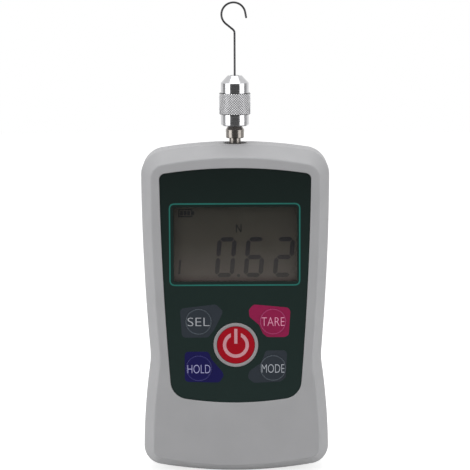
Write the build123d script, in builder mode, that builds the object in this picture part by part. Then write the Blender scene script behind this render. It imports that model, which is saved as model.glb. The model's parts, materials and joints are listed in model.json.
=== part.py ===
from build123d import *
from math import atan, cos, radians, sin, tan
import os

# Hand-held digital force gauge with a three-jaw pin chuck and a wire hook.
# Millimetres. +Z runs up the pull axis, the display faces -Y, and the origin is
# the middle of the curved foot that the case stands on.

# ---- Case ----
case_height = 143.5
case_width = 81.0
case_depth = 36.0
waist_width = 74.0
waist_height = 50.7
foot_width = 80.6
crown_rise = 4.1
foot_rise = 4.2
upper_side_bulge = 1.0
lower_side_bulge = 0.95
crown_corner_radius = 10.5
waist_radius = 28.0
foot_corner_radius = 8.5
belt_depth = 17.2
face_inset = 4.5
face_edge_radius = 0.8
belt_edge_radius = 4.0
seam_chamfer = 0.25
wall = 2.4
lip_depth = 1.2
fit = 0.1
thread_fit = 0.05
shaft_hole_diameter = 10.4

# ---- Case screws and their posts ----
screw_top_gap = 13.0
screw_foot_gap = 13.6
screw_side_gap_top = 11.0
screw_side_gap_foot = 10.8
post_radius = 3.6
screw_radius = 1.5
screw_head_radius = 2.7
screw_head_height = 2.0
screw_head_edge_radius = 0.65
screw_head_clearance = 0.2
screw_head_recess = 4.0
screw_reach = 6.0
screw_tip_gap = 1.0
cross_slot_width = 0.7
cross_slot_share = 1.3

# ---- Keypad overlay ----
pocket_depth = 0.9
pocket_edge_radius = 0.35
overlay_thickness = 0.5
panel_top_gap = 9.1
panel_crown = 2.6
panel_side_bulge = 0.85
panel_foot_rise = 2.8
panel_side_margin = 3.65
panel_waist_margin = 4.8
panel_crown_corner = 2.6
panel_foot_corner = 7.8

# ---- Display ----
view_top_gap = 25.75
view_height = 32.25
view_side_margin = 3.65
window_border = 1.6
glass_border = 1.3
holder_rim = 0.8
holder_wall = 1.2
holder_fit = 0.2
glass_thickness = 2.8
connector_thickness = 2.4
connector_height = 2.2

# ---- Keys and switches ----
keypad_top_gap = 85.7
keypad_foot_gap = 25.3
key_radius = 5.45
power_key_radius = 9.6
key_spacing = 3.92
key_diagonal = 32.5
key_clearance = 0.2
key_rise = 0.15
key_edge_radius = 0.2
key_flange = 1.1
key_flange_thickness = 0.6
key_nib_radius = 2.0
switch_size = 6.0
switch_height = 3.4
switch_edge_radius = 0.5
plunger_radius = 1.75
plunger_rise = 0.9
plunger_clearance = 0.15
plunger_engagement = 1.8
plunger_bore_depth = 2.6

# ---- Main board ----
board_side_gap = 6.0
board_top_gap = 17.2
board_foot_gap = 17.6
board_thickness = 1.6
board_corner_radius = 3.0
boss_radius = 2.3
boss_side_gap_top = 13.0
boss_side_gap_foot = 11.0
boss_edge_gap_top = 2.7
boss_edge_gap_foot = 4.5
board_screw_radius = 1.0
board_screw_head_radius = 1.9
board_screw_head_height = 1.3
board_screw_head_edge_radius = 0.4
board_screw_reach = 4.5
chip_size = 10.0
chip_height = 1.4
chip_leg_pitch = 1.27
chip_leg_count = 7
chip_leg_length = 1.2
chip_leg_width = 0.4
chip_foot_gap = 16.0
buzzer_radius = 4.5
buzzer_height = 4.0
buzzer_edge_radius = 0.5
buzzer_hole_radius = 1.1
buzzer_offset = 17.0
socket_width = 6.0
socket_height = 5.0
socket_depth = 3.5
sensor_socket_x = -20.0
battery_socket_x = 20.0

# ---- Load cell, bracket and stand bushes ----
cell_width = 40.0
cell_depth = 12.0
cell_height = 46.0
cell_top_gap = 26.5
cell_leg = 7.0
cell_beam = 10.5
cell_slot = 2.5
cell_window_width = 16.0
cell_window_height = 12.0
cell_window_corner = 4.0
cell_corner_radius = 1.0
cover_margin = 2.0
cover_thickness = 0.8
bracket_width = 50.0
bracket_thickness = 3.0
bracket_top_gap = 11.4
bracket_corner_radius = 4.0
bracket_pad_height = 2.0
bracket_pad_radius = 4.0
bracket_foot_width = 24.0
bracket_foot_thickness = 4.0
bracket_screw_radius = 1.5
bracket_screw_head_radius = 2.7
bracket_screw_head_height = 1.9
bracket_screw_head_edge_radius = 0.6
bracket_screw_edge_gap = 5.0
bracket_screw_tip_gap = 0.5
cell_screw_radius = 2.5
cell_screw_head_radius = 4.25
cell_screw_head_height = 4.0
cell_screw_socket = 4.0
cell_screw_tip_gap = 1.0
cell_thread_depth = 9.0
stand_pitch_x = 40.0
stand_pitch_z = 36.0
stand_top_gap = 43.5
stand_thread_radius = 1.65
bush_radius = 3.5
bush_spigot_radius = 2.5

# ---- Shaft and lock collar ----
shaft_thread_radius = 3.0
shaft_body_radius = 4.0
neck_radius = 2.5
neck_top_rise = 2.2
neck_depth = 4.6
stud_radius = 2.0
stud_engagement = 5.3
shaft_tip_gap = 0.5
jam_nut_flats = 10.0
jam_nut_height = 3.2
shaft_shoulder_gap = 1.3
collar_radius = 3.95
collar_height = 5.36
collar_shoulder_width = 1.15
collar_shoulder_height = 1.75
collar_foot_chamfer = 0.25

# ---- Chuck ----
chuck_band_step = 0.72
chuck_base_height = 4.8
chuck_base_chamfer = 0.45
chuck_pilot_height = 1.4
chuck_tail_radius = 3.4
chuck_core_step = 1.0
chuck_band_height = 4.25
chuck_nose_radius = 3.05
chuck_nose_height = 3.19
chuck_nose_edge = 0.3
sleeve_step = 1.65
sleeve_height = 9.24
sleeve_end_chamfer = 0.4
chuck_running_fit = 0.05
nut_height = 2.5
nut_gap = 3.4
nut_jaw_clearance = 0.08
stud_bore_depth = 5.5

# ---- Jaws ----
jaw_count = 3
jaw_radius = 1.2
jaw_angle = 12.0
jaw_tip_offset = 0.85
jaw_length = 12.8
jaw_travel = 2.0
jaw_bore_clearance = 0.05
jaw_tip_gap = 0.08
jaw_sleeve_gap = 0.2
jaw_neighbour_gap = 0.1
jaw_bore_overrun = 0.5
jaw_wire_clearance = 0.03
wire_bore_radius = 0.6
wire_bore_gap = 0.5

# ---- Hook ----
wire_radius = 0.45
wire_grip = 14.0
hook_loop_radius = 5.15
hook_loop_height = 26.15
hook_loop_offset = 0.45
hook_slant = 51.0
hook_bend_radius = 2.0
hook_tail_angle = 10.0
hook_tail_length = 2.15

# ---- Battery bay and door ----
cell_count = 4
battery_radius = 5.25
battery_length = 44.5
battery_nub_radius = 1.9
battery_nub_height = 1.2
battery_side_gap = 0.4
battery_wall_gap = 0.4
battery_rear_gap = 0.25
battery_spring_room = 3.4
battery_contact_room = 1.9
contact_width = 7.0
contact_thickness = 0.3
contact_half_foot = 2.35
spring_half_top = 1.2
contact_half_rise = 1.4
contact_half_top = 0.9
bay_wall = 1.4
bay_floor = 10.6
door_ledge = 2.0
door_ledge_width = 3.0
door_overlap = 1.0
door_foot_gap = 0.1
door_foot_ledge = 3.0
door_head_gap = 2.1
door_thickness = 2.2
door_gap = 0.25
door_floor_gap = 0.3
door_barrel_radius = 1.3
door_pin_radius = 0.75
door_pin_length = 1.6
door_corner_radius = 2.0
grip_width = 12.0
grip_rib_count = 4
grip_rib_pitch = 2.0
grip_rib_width = 0.9
grip_rib_depth = 0.4

# ---- Leads ----
lead_radius = 0.7
lead_bend_radius = 2.2
lead_side_reach = 7.0
sensor_lead_rise = 5.0
battery_lead_rise = 3.5

# ---- Places worked out from the sizes above ----
half_depth = case_depth / 2
half_belt = belt_depth / 2
slope_angle = atan(face_inset / (half_depth - half_belt))
inner_depth = half_depth - wall
core_belt = half_belt - wall * tan(slope_angle / 2)
core_face_inset = wall + (inner_depth - core_belt) * tan(slope_angle)

post_points = [
    (side * (width / 2 - gap), z)
    for side in (-1, 1)
    for width, gap, z in (
        (case_width, screw_side_gap_top, case_height - screw_top_gap),
        (foot_width, screw_side_gap_foot, screw_foot_gap),
    )
]

pocket_y = -half_depth + pocket_depth
overlay_y = pocket_y - overlay_thickness
panel_top = case_height - panel_top_gap
panel_half_top = case_width / 2 - face_inset - panel_side_margin
panel_half_foot = waist_width / 2 - face_inset - panel_waist_margin

keypad_z = case_height - keypad_top_gap
key_reach = power_key_radius + key_radius + key_spacing
key_pitch_x = 2 * key_reach * cos(radians(key_diagonal))
key_pitch_z = 2 * key_reach * sin(radians(key_diagonal))
panel_foot = keypad_z - keypad_foot_gap

view_z = case_height - view_top_gap - view_height / 2
view_share = (view_z - view_height / 2 - panel_foot) / (panel_top - panel_foot)
panel_half_view = panel_half_foot + view_share * (panel_half_top - panel_half_foot)
view_width = 2 * (panel_half_view - view_side_margin)
glass_y = -inner_depth + holder_rim
board_y = glass_y + glass_thickness + connector_thickness
board_rear = board_y + board_thickness
board_top = case_height - board_top_gap
board_foot = keypad_z - key_pitch_z / 2 - board_foot_gap
boss_points = [
    (side * (width / 2 - gap), z)
    for side in (-1, 1)
    for width, gap, z in (
        (case_width, boss_side_gap_top, board_top - boss_edge_gap_top),
        (waist_width, boss_side_gap_foot, board_foot + boss_edge_gap_foot),
    )
]
chip_z = board_foot + chip_foot_gap

corner_keys = {
    "select_key": (-key_pitch_x / 2, keypad_z + key_pitch_z / 2),
    "tare_key": (key_pitch_x / 2, keypad_z + key_pitch_z / 2),
    "hold_key": (-key_pitch_x / 2, keypad_z - key_pitch_z / 2),
    "mode_key": (key_pitch_x / 2, keypad_z - key_pitch_z / 2),
}
keys = {name: (place, key_radius) for name, place in corner_keys.items()}
keys["power_key"] = ((0, keypad_z), power_key_radius)
key_points = [place for place, radius in keys.values()]
nib_y = board_y - switch_height - plunger_rise

battery_pitch = 2 * battery_radius + battery_side_gap
battery_foot = bay_floor + battery_spring_room
battery_top = battery_foot + battery_length
bay_top = battery_top + battery_contact_room
bay_half = battery_pitch * (cell_count - 1) / 2 + battery_radius + battery_wall_gap
door_y = half_depth - door_thickness
recess_y = door_y - door_floor_gap
ledge_y = recess_y - door_ledge
battery_y = ledge_y - battery_rear_gap - battery_radius
bay_front = battery_y - battery_radius - battery_wall_gap
door_half = bay_half + door_overlap
door_foot = bay_floor - door_foot_gap
door_top = bay_top + door_head_gap
hinge_y = half_depth - door_barrel_radius
hinge_z = door_foot + door_barrel_radius

cell_top = case_height - cell_top_gap
cell_foot = cell_top - cell_height
bracket_foot = cell_foot - bracket_foot_thickness
cell_middle = (cell_top + cell_foot) / 2
bracket_y = inner_depth - bracket_pad_height
bracket_front = bracket_y - bracket_thickness
bracket_top = case_height - bracket_top_gap
bracket_screw_tip = half_depth - wall / 2
screw_head_y = half_depth - screw_head_recess - screw_head_height
stand_z = case_height - stand_top_gap
stand_points = [
    (x, stand_z + rise)
    for x in (-stand_pitch_x / 2, stand_pitch_x / 2)
    for rise in (-stand_pitch_z / 2, stand_pitch_z / 2)
]
bracket_screw_points = [
    (x, z)
    for x in (-stand_pitch_x / 2, stand_pitch_x / 2)
    for z in (bracket_foot + bracket_screw_edge_gap, bracket_top - bracket_screw_edge_gap)
]

jaw_lean = radians(jaw_angle)
jaw_reach = jaw_tip_offset + (jaw_length + jaw_travel) * sin(jaw_lean) + jaw_radius * cos(jaw_lean)
chuck_pilot_radius = jaw_reach + jaw_sleeve_gap
chuck_core_radius = chuck_pilot_radius - chuck_core_step
chuck_band_radius = chuck_pilot_radius + chuck_band_step
sleeve_radius = chuck_pilot_radius + sleeve_step
neck_top = case_height + neck_top_rise
chuck_foot = neck_top + collar_height
chuck_core_foot = chuck_foot + chuck_base_height
chuck_band_foot = chuck_core_foot + 2 * chuck_running_fit + sleeve_height
chuck_nose_foot = chuck_band_foot + chuck_band_height
chuck_nose = chuck_nose_foot + chuck_nose_height
sleeve_foot = chuck_core_foot + chuck_running_fit
nut_foot = chuck_core_foot + nut_gap
jaw_tip_z = chuck_nose - jaw_tip_gap
wire_foot = chuck_nose - wire_grip
hook_loop_z = chuck_nose + hook_loop_height


# ---- Shared construction ----
def save(piece, name):
    """Label a finished piece and write it to its own file."""
    piece.part.label = name
    export_step(piece.part, f"parts/{name}.step")


def depth_plane(y):
    """Plane that faces the front at depth y; its own x and y are X and Z."""
    return Plane.XZ.offset(-y)


def bars(points, radius, front, rear, mode=Mode.ADD):
    """Round bars along Y from front to rear at (x, z) points."""
    with BuildSketch(depth_plane(rear)) as section:
        with Locations(*points):
            Circle(radius)
    extrude(section.sketch, amount=rear - front, mode=mode)


def slab(width, height, middle, front, rear, mode=Mode.ADD, corner=0.0):
    """Upright block centred on (x, z) from front to rear, with rounded corners if asked."""
    with BuildSketch(depth_plane(rear)) as section:
        with Locations(middle):
            if corner:
                RectangleRounded(width, height, corner)
            else:
                Rectangle(width, height)
    extrude(section.sketch, amount=rear - front, mode=mode)


def cross_slots(points, width, depth, head_y, radius):
    """Cross recess cut towards the front into screw heads that end at head_y."""
    with BuildSketch(depth_plane(head_y)) as cross:
        with Locations(*points):
            Rectangle(width, cross_slot_share * radius)
            Rectangle(cross_slot_share * radius, width)
    extrude(cross.sketch, amount=depth, mode=Mode.SUBTRACT)


def corners_at(outline, height):
    """The corners of an outline that lie at one height."""
    return outline.vertices().filter_by_position(Axis.Y, height - fit, height + fit)


def shaft_hole(foot, top):
    """Hole on the pull axis that the shaft leaves the case through."""
    with BuildSketch(Plane.XY.offset(foot)) as section:
        Circle(shaft_hole_diameter / 2)
    extrude(section.sketch, amount=top - foot, mode=Mode.SUBTRACT)


def cross_bar(radius, half_length, mode=Mode.ADD):
    """Round bar along X on the battery door's hinge line."""
    with BuildSketch(Plane.YZ.offset(-half_length)) as section:
        with Locations((hinge_y, hinge_z)):
            Circle(radius)
    extrude(section.sketch, amount=2 * half_length, mode=mode)


def case_outline(inset=0.0):
    """Face-on outline of the case, set in from the belt on every side."""
    half_top = case_width / 2 - inset
    half_waist = waist_width / 2 - inset
    half_foot = foot_width / 2 - inset
    crown = case_height - inset
    shoulder = crown - crown_rise
    heel = foot_rise + inset
    with BuildSketch() as outline:
        with BuildLine():
            ThreePointArc((half_top, shoulder), (0, crown), (-half_top, shoulder))
            SagittaArc((-half_top, shoulder), (-half_waist, waist_height), -upper_side_bulge)
            SagittaArc((-half_waist, waist_height), (-half_foot, heel), -lower_side_bulge)
            ThreePointArc((-half_foot, heel), (0, inset), (half_foot, heel))
            SagittaArc((half_foot, heel), (half_waist, waist_height), -lower_side_bulge)
            SagittaArc((half_waist, waist_height), (half_top, shoulder), -upper_side_bulge)
        make_face()
        fillet(corners_at(outline, heel), foot_corner_radius - inset)
        fillet(corners_at(outline, waist_height), waist_radius + inset)
        fillet(corners_at(outline, shoulder), crown_corner_radius - inset)
    return outline.sketch


def panel_outline(grow=0.0):
    """Outline of the keypad overlay, grown on every side by a clearance for its pocket."""
    half_top = panel_half_top + grow
    half_foot = panel_half_foot + grow
    crown = panel_top + grow
    shoulder = crown - panel_crown
    foot = panel_foot - grow
    heel = foot + panel_foot_rise
    with BuildSketch() as outline:
        with BuildLine():
            ThreePointArc((half_top, shoulder), (0, crown), (-half_top, shoulder))
            SagittaArc((-half_top, shoulder), (-half_foot, heel), -panel_side_bulge)
            ThreePointArc((-half_foot, heel), (0, foot), (half_foot, heel))
            SagittaArc((half_foot, heel), (half_top, shoulder), -panel_side_bulge)
        make_face()
        fillet(corners_at(outline, heel), panel_foot_corner + grow)
        fillet(corners_at(outline, shoulder), panel_crown_corner + grow)
    return outline.sketch


os.makedirs("parts", exist_ok=True)

# ---- Case shells ----
belt_outline = case_outline()
core_outline = case_outline(wall)

with BuildPart() as front_block:
    with BuildSketch(depth_plane(0)):
        add(belt_outline)
    extrude(amount=half_belt)
    with BuildSketch(depth_plane(-half_belt)):
        add(belt_outline)
    with BuildSketch(depth_plane(-half_depth)):
        add(case_outline(face_inset))
    loft(ruled=True)
    fillet(front_block.faces().sort_by(Axis.Y)[0].edges(), face_edge_radius)
    fillet(front_block.edges().filter_by_position(Axis.Y, -half_belt, -half_belt), belt_edge_radius)
    chamfer(front_block.edges().group_by(Axis.Y)[-1], seam_chamfer)

with BuildPart() as plain_core:
    with BuildSketch(depth_plane(0)):
        add(core_outline)
    extrude(amount=core_belt)
    with BuildSketch(depth_plane(-core_belt)):
        add(core_outline)
    with BuildSketch(depth_plane(-inner_depth)):
        add(case_outline(core_face_inset))
    loft(ruled=True)

with BuildPart() as front_core:
    add(plain_core)
    bars(post_points, post_radius, -inner_depth, 0, mode=Mode.SUBTRACT)
    bars(boss_points, boss_radius, -inner_depth, board_y, mode=Mode.SUBTRACT)

with BuildPart() as front_case:
    add(front_block)
    add(front_core, mode=Mode.SUBTRACT)
    with BuildSketch(depth_plane(pocket_y)):
        add(panel_outline(fit))
    extrude(amount=pocket_depth, mode=Mode.SUBTRACT)
    pocket_rim = front_case.faces().sort_by(Axis.Y)[0].inner_wires()[0]
    fillet(pocket_rim.edges(), pocket_edge_radius)
    slab(
        view_width + 2 * window_border + 2 * fit,
        view_height + 2 * window_border + 2 * fit,
        (0, view_z),
        -half_depth,
        -inner_depth,
        mode=Mode.SUBTRACT,
    )
    for place, radius in keys.values():
        bars([place], radius + key_clearance, -half_depth, -inner_depth, mode=Mode.SUBTRACT)
    bars(post_points, screw_radius + thread_fit, -screw_reach - screw_tip_gap, 0, mode=Mode.SUBTRACT)
    bars(
        boss_points,
        board_screw_radius + thread_fit,
        board_y - board_screw_reach,
        board_y,
        mode=Mode.SUBTRACT,
    )
    with BuildSketch(depth_plane(0)) as lip_groove:
        add(case_outline(wall / 2))
        add(core_outline, mode=Mode.SUBTRACT)
    extrude(amount=lip_depth, mode=Mode.SUBTRACT)
    shaft_hole(case_height - 2 * wall - crown_rise, case_height)

with BuildPart() as rear_core:
    add(mirror(plain_core.part, about=Plane.XZ))
    bars(post_points, post_radius, 0, inner_depth, mode=Mode.SUBTRACT)
    bars(bracket_screw_points, bracket_pad_radius, bracket_y, inner_depth, mode=Mode.SUBTRACT)
    slab(
        2 * (bay_half + bay_wall),
        bay_top - bay_floor + 2 * bay_wall,
        (0, (bay_top + bay_floor) / 2),
        bay_front - bay_wall,
        inner_depth,
        mode=Mode.SUBTRACT,
    )
    slab(
        2 * (door_half + door_ledge_width),
        door_top - door_foot + 2 * door_ledge_width,
        (0, (door_top + door_foot) / 2),
        ledge_y,
        inner_depth,
        mode=Mode.SUBTRACT,
    )

with BuildPart() as rear_case:
    add(mirror(front_block.part, about=Plane.XZ))
    add(rear_core, mode=Mode.SUBTRACT)
    with BuildSketch(depth_plane(0)):
        add(case_outline(wall / 2 + fit))
        add(core_outline, mode=Mode.SUBTRACT)
    extrude(amount=lip_depth - fit)
    shaft_hole(case_height - 2 * wall - crown_rise, case_height)
    slab(
        2 * bay_half,
        bay_top - bay_floor,
        (0, (bay_top + bay_floor) / 2),
        bay_front,
        ledge_y,
        mode=Mode.SUBTRACT,
    )
    slab(
        2 * bay_half,
        bay_top - bay_floor - door_foot_ledge,
        (0, (bay_top + bay_floor + door_foot_ledge) / 2),
        ledge_y,
        recess_y,
        mode=Mode.SUBTRACT,
    )
    with BuildSketch(depth_plane(half_depth)) as door_recess:
        with Locations((0, (door_top + door_gap + hinge_z) / 2)):
            Rectangle(2 * (door_half + door_gap), door_top + door_gap - hinge_z)
        fillet(door_recess.vertices().group_by(Axis.Y)[-1], door_corner_radius + door_gap)
    extrude(amount=half_depth - recess_y, mode=Mode.SUBTRACT)
    slab(
        2 * (door_half + door_gap),
        door_barrel_radius + door_floor_gap,
        (0, hinge_z - (door_barrel_radius + door_floor_gap) / 2),
        hinge_y,
        half_depth,
        mode=Mode.SUBTRACT,
    )
    cross_bar(door_barrel_radius + door_floor_gap, door_half + door_gap, mode=Mode.SUBTRACT)
    cross_bar(
        door_pin_radius + thread_fit,
        door_half + door_pin_length + door_gap,
        mode=Mode.SUBTRACT,
    )
    bars(post_points, screw_radius + fit, 0, half_depth, mode=Mode.SUBTRACT)
    bars(
        post_points,
        screw_head_radius + screw_head_clearance,
        screw_head_y,
        half_depth,
        mode=Mode.SUBTRACT,
    )
    bars(stand_points, bush_radius + fit, inner_depth, half_depth, mode=Mode.SUBTRACT)
    bars(
        bracket_screw_points,
        bracket_screw_radius + thread_fit,
        bracket_y,
        bracket_screw_tip,
        mode=Mode.SUBTRACT,
    )

with BuildPart() as case_screws:
    bars(post_points, screw_head_radius, screw_head_y, screw_head_y + screw_head_height)
    fillet(case_screws.faces().group_by(Axis.Y)[-1].edges(), screw_head_edge_radius)
    bars(post_points, screw_radius, -screw_reach, screw_head_y)
    cross_slots(
        post_points,
        cross_slot_width,
        screw_head_height / 2,
        screw_head_y + screw_head_height,
        screw_head_radius,
    )

# ---- Keypad overlay, display and board ----
with BuildPart() as keypad_overlay:
    with BuildSketch(depth_plane(pocket_y)):
        add(panel_outline())
        with Locations((0, view_z)):
            Rectangle(view_width, view_height, mode=Mode.SUBTRACT)
        with Locations(*corner_keys.values()):
            Circle(key_radius + key_clearance, mode=Mode.SUBTRACT)
        with Locations((0, keypad_z)):
            Circle(power_key_radius + key_clearance, mode=Mode.SUBTRACT)
    extrude(amount=overlay_thickness)

with BuildPart() as lcd_window:
    slab(
        view_width + 2 * window_border,
        view_height + 2 * window_border,
        (0, view_z),
        pocket_y,
        -inner_depth,
    )

glass_width = view_width + 2 * glass_border
glass_height = view_height + 2 * glass_border
with BuildPart() as lcd_holder:
    slab(
        glass_width + 2 * holder_fit + 2 * holder_wall,
        glass_height + 2 * holder_fit + 2 * holder_wall,
        (0, view_z),
        -inner_depth,
        board_y,
    )
    slab(
        glass_width + 2 * holder_fit,
        glass_height + 2 * holder_fit,
        (0, view_z),
        glass_y,
        board_y,
        mode=Mode.SUBTRACT,
    )
    slab(
        view_width + glass_border,
        view_height + glass_border,
        (0, view_z),
        -inner_depth,
        glass_y,
        mode=Mode.SUBTRACT,
    )

with BuildPart() as lcd_panel:
    slab(glass_width, glass_height, (0, view_z), glass_y, glass_y + glass_thickness)

with BuildPart() as lcd_connectors:
    for side in (-1, 1):
        strip_z = view_z + side * (glass_height - connector_height) / 2
        slab(
            glass_width - connector_height,
            connector_height,
            (0, strip_z),
            glass_y + glass_thickness,
            board_y,
        )

with BuildPart() as main_board:
    with BuildSketch(depth_plane(board_rear)) as board_shape:
        add(case_outline(board_side_gap))
        with Locations((0, (board_top + board_foot) / 2)):
            Rectangle(case_width, board_top - board_foot, mode=Mode.INTERSECT)
        fillet(board_shape.vertices().group_by(Axis.Y)[0], board_corner_radius)
        fillet(board_shape.vertices().group_by(Axis.Y)[-1], board_corner_radius)
        with Locations(*boss_points):
            Circle(board_screw_radius + fit, mode=Mode.SUBTRACT)
    extrude(amount=board_thickness)

with BuildPart() as board_screws:
    bars(boss_points, board_screw_head_radius, board_rear, board_rear + board_screw_head_height)
    fillet(board_screws.faces().group_by(Axis.Y)[-1].edges(), board_screw_head_edge_radius)
    bars(boss_points, board_screw_radius, board_y - board_screw_reach, board_rear)
    cross_slots(
        boss_points,
        cross_slot_width,
        board_screw_head_height / 2,
        board_rear + board_screw_head_height,
        board_screw_head_radius,
    )

with BuildPart() as controller_chip:
    slab(chip_size, chip_size, (0, chip_z), board_rear + fit, board_rear + chip_height)
    with BuildSketch(depth_plane(board_rear + chip_height / 2)):
        with Locations((0, chip_z)):
            with GridLocations(chip_size + chip_leg_length, chip_leg_pitch, 2, chip_leg_count):
                Rectangle(chip_leg_length, chip_leg_width)
            with GridLocations(chip_leg_pitch, chip_size + chip_leg_length, chip_leg_count, 2):
                Rectangle(chip_leg_width, chip_leg_length)
    extrude(amount=chip_height / 2)

with BuildPart() as buzzer:
    bars([(buzzer_offset, chip_z)], buzzer_radius, board_rear, board_rear + buzzer_height)
    fillet(buzzer.faces().sort_by(Axis.Y)[-1].edges(), buzzer_edge_radius)
    bars(
        [(buzzer_offset, chip_z)],
        buzzer_hole_radius,
        board_rear + buzzer_height / 2,
        board_rear + buzzer_height,
        mode=Mode.SUBTRACT,
    )

socket_z = bracket_foot - cell_screw_head_height - socket_height / 2
with BuildPart() as board_sockets:
    for socket_x in (sensor_socket_x, battery_socket_x):
        slab(socket_width, socket_height, (socket_x, socket_z), board_rear, board_rear + socket_depth)

# ---- Keys and their switches ----
with BuildPart() as switch_bodies:
    for point in key_points:
        slab(switch_size, switch_size, point, board_y - switch_height, board_y)
    fillet(switch_bodies.edges().filter_by(Axis.Y), switch_edge_radius)
    bars(
        key_points,
        plunger_radius + plunger_clearance,
        board_y - switch_height,
        board_y - switch_height + plunger_bore_depth,
        mode=Mode.SUBTRACT,
    )

for name, (place, radius) in keys.items():
    with BuildPart() as key:
        bars([place], radius, overlay_y - key_rise, -inner_depth + fit)
        fillet(key.faces().sort_by(Axis.Y)[0].edges(), key_edge_radius)
        bars([place], radius + key_flange, -inner_depth + fit, -inner_depth + fit + key_flange_thickness)
        bars([place], key_nib_radius, -inner_depth + fit + key_flange_thickness, nib_y)
    save(key, name)
    with BuildPart() as plunger:
        bars([place], plunger_radius, nib_y, board_y - switch_height + plunger_engagement)
    save(plunger, name.replace("_key", "_switch_plunger"))

# ---- Load cell and what carries it ----
with BuildPart() as load_cell:
    slab(
        cell_width,
        cell_height,
        (0, cell_middle),
        -cell_depth / 2,
        cell_depth / 2,
        corner=cell_corner_radius,
    )
    for side, slot_z in (
        (1, cell_top - cell_beam - cell_slot / 2),
        (-1, cell_foot + cell_beam + cell_slot / 2),
    ):
        slab(
            cell_width - cell_leg,
            cell_slot,
            (side * cell_leg / 2, slot_z),
            -cell_depth / 2,
            cell_depth / 2,
            mode=Mode.SUBTRACT,
        )
    slab(
        cell_window_width,
        cell_window_height,
        (0, cell_middle),
        -cell_depth / 2,
        cell_depth / 2,
        mode=Mode.SUBTRACT,
        corner=cell_window_corner,
    )
    with BuildSketch(Plane.XY.offset(cell_top - cell_thread_depth)):
        Circle(shaft_thread_radius + thread_fit)
    extrude(amount=cell_thread_depth, mode=Mode.SUBTRACT)
    with BuildSketch(Plane.XY.offset(cell_foot)):
        Circle(cell_screw_radius + thread_fit)
    extrude(amount=cell_thread_depth, mode=Mode.SUBTRACT)

with BuildPart() as gauge_covers:
    for front in (-cell_depth / 2 - cover_thickness, cell_depth / 2):
        slab(
            cell_window_width + 2 * cover_margin,
            cell_window_height + 2 * cover_margin,
            (0, cell_middle),
            front,
            front + cover_thickness,
            corner=cover_margin,
        )

with BuildPart() as cell_bracket:
    slab(
        bracket_width,
        bracket_top - bracket_foot,
        (0, (bracket_top + bracket_foot) / 2),
        bracket_front,
        bracket_y,
    )
    fillet(cell_bracket.edges().filter_by(Axis.Y).group_by(Axis.Z)[-1], bracket_corner_radius)
    slab(
        bracket_foot_width,
        bracket_foot_thickness,
        (0, bracket_foot + bracket_foot_thickness / 2),
        -cell_depth / 2,
        bracket_front,
    )
    with BuildSketch(Plane.XY.offset(bracket_foot)):
        Circle(cell_screw_radius + fit)
    extrude(amount=bracket_foot_thickness, mode=Mode.SUBTRACT)
    bars(bracket_screw_points, bracket_screw_radius + fit, bracket_front, bracket_y, mode=Mode.SUBTRACT)
    bars(stand_points, bush_spigot_radius + thread_fit, bracket_front, bracket_y, mode=Mode.SUBTRACT)

with BuildPart() as bracket_screws:
    head_front = bracket_front - bracket_screw_head_height
    bars(bracket_screw_points, bracket_screw_head_radius, head_front, bracket_front)
    fillet(bracket_screws.faces().group_by(Axis.Y)[0].edges(), bracket_screw_head_edge_radius)
    bars(
        bracket_screw_points,
        bracket_screw_radius,
        bracket_front,
        bracket_screw_tip - bracket_screw_tip_gap,
    )

with BuildPart() as stand_bushes:
    bars(stand_points, bush_radius, bracket_y, half_depth)
    bars(stand_points, bush_spigot_radius, bracket_front, bracket_y)
    bars(stand_points, stand_thread_radius, bracket_front, half_depth, mode=Mode.SUBTRACT)

with BuildPart() as cell_screw:
    with BuildSketch(Plane.XY.offset(bracket_foot - cell_screw_head_height)):
        Circle(cell_screw_head_radius)
    extrude(amount=cell_screw_head_height)
    with BuildSketch(Plane.XY.offset(bracket_foot)):
        Circle(cell_screw_radius)
    extrude(amount=bracket_foot_thickness + cell_thread_depth - cell_screw_tip_gap)
    with BuildSketch(Plane.XY.offset(bracket_foot - cell_screw_head_height)):
        RegularPolygon(cell_screw_socket / 2, 6, major_radius=False)
    extrude(amount=cell_screw_head_height / 2, mode=Mode.SUBTRACT)

# ---- Shaft ----
shaft_foot = cell_top - cell_thread_depth + shaft_tip_gap
jam_nut_top = cell_top + jam_nut_height
neck_foot = case_height - neck_depth
stud_top = chuck_foot + stud_engagement
with BuildPart() as shaft:
    with BuildSketch(Plane.XZ):
        with BuildLine():
            Polyline(
                (0, shaft_foot),
                (shaft_thread_radius, shaft_foot),
                (shaft_thread_radius, jam_nut_top + shaft_shoulder_gap),
                (shaft_body_radius, jam_nut_top + shaft_shoulder_gap),
                (shaft_body_radius, neck_foot),
                (neck_radius, neck_foot),
                (neck_radius, neck_top),
                (stud_radius, neck_top),
                (stud_radius, stud_top),
                (0, stud_top),
                close=True,
            )
        make_face()
    revolve(axis=Axis.Z)

with BuildPart() as jam_nut:
    with BuildSketch(Plane.XY.offset(cell_top)):
        RegularPolygon(jam_nut_flats / 2, 6, major_radius=False)
        Circle(shaft_thread_radius + thread_fit, mode=Mode.SUBTRACT)
    extrude(amount=jam_nut_height)

with BuildPart() as lock_collar:
    with BuildSketch(Plane.XY.offset(neck_top)):
        Circle(collar_radius)
    extrude(amount=collar_height)
    collar_top = lock_collar.faces().sort_by(Axis.Z)[-1]
    chamfer(collar_top.edges(), collar_shoulder_width, collar_shoulder_height, reference=collar_top)
    chamfer(lock_collar.edges().group_by(Axis.Z)[0], collar_foot_chamfer)
    with BuildSketch(Plane.XY.offset(neck_top)):
        Circle(stud_radius + thread_fit)
    extrude(amount=collar_height, mode=Mode.SUBTRACT)


# ---- Chuck ----
def ring(inner, outer, foot, height):
    """Upright ring."""
    with BuildSketch(Plane.XY.offset(foot)) as section:
        Circle(outer)
        Circle(inner, mode=Mode.SUBTRACT)
    extrude(section.sketch, amount=height)


def jaw_turn(index):
    """Angle of one jaw about the pull axis, in degrees."""
    return 90 + index * 360 / jaw_count


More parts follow.
